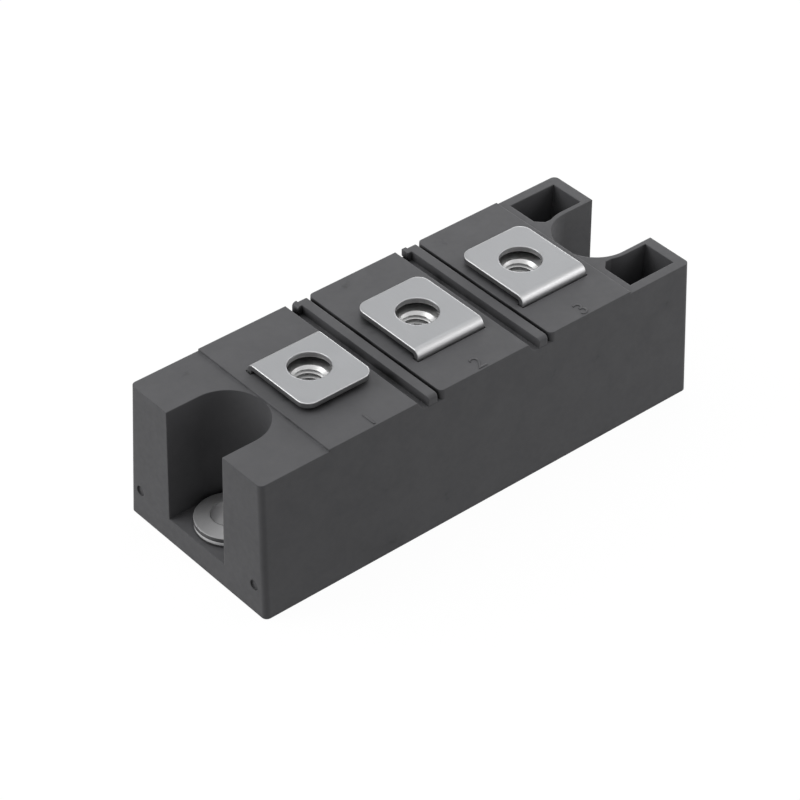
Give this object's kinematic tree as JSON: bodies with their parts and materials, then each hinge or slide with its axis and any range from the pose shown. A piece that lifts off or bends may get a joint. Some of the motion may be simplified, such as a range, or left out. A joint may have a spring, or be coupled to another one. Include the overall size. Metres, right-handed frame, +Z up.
{
  "type": "schottky diode module",
  "caption": "Flat dark plastic power module with screw terminals on a grooved deck, an open fixing slot at each end and gate pockets at one end.",
  "frame": {"origin": "middle of the flat cooling face, on the surface that the module stands on", "axes": "+X along the module towards the end with the two gate pockets, +Y across it away from the long side that the picture shows, +Z up out of the terminals"},
  "size_m": [0.094, 0.0362, 0.0292],
  "materials": {
    "housing_plastic": "fine-grained dark grey moulded thermoplastic",
    "plated_base": "nickel-plated copper plate, ground flat",
    "plated_terminal": "tin-plated copper strap, satin",
    "nut_steel": "zinc-plated steel",
    "bush_steel": "plated steel, formed",
    "sealant": "cured silicone bead",
    "gel": "soft clear silicone gel",
    "solder": "soft solder, matt grey",
    "bare_copper": "rolled copper bonded to ceramic",
    "ceramic": "white alumina",
    "silicon": "metallised silicon"
  },
  "bodies": {
    "root": {"housing": "housing_plastic", "base_plate": "plated_base", "sealing_bead": "sealant", "fixing_bush_1": "bush_steel", "bush_washer_1": "bush_steel", "fixing_bush_2": "bush_steel", "bush_washer_2": "bush_steel", "terminal_1": "plated_terminal", "terminal_nut_1": "nut_steel", "terminal_2": "plated_terminal", "terminal_nut_2": "nut_steel", "terminal_3": "plated_terminal", "terminal_nut_3": "nut_steel", "substrate_solder_1": "solder", "back_copper_1": "bare_copper", "ceramic_1": "ceramic", "chip_pad_1": "bare_copper", "anode_track_1": "bare_copper", "diode_chip_1": "silicon", "contact_clip_1": "bare_copper", "substrate_solder_2": "solder", "back_copper_2": "bare_copper", "ceramic_2": "ceramic", "chip_pad_2": "bare_copper", "anode_track_2": "bare_copper", "diode_chip_2": "silicon", "contact_clip_2": "bare_copper", "silicone_gel": "gel"}
  },
  "joints": []
}
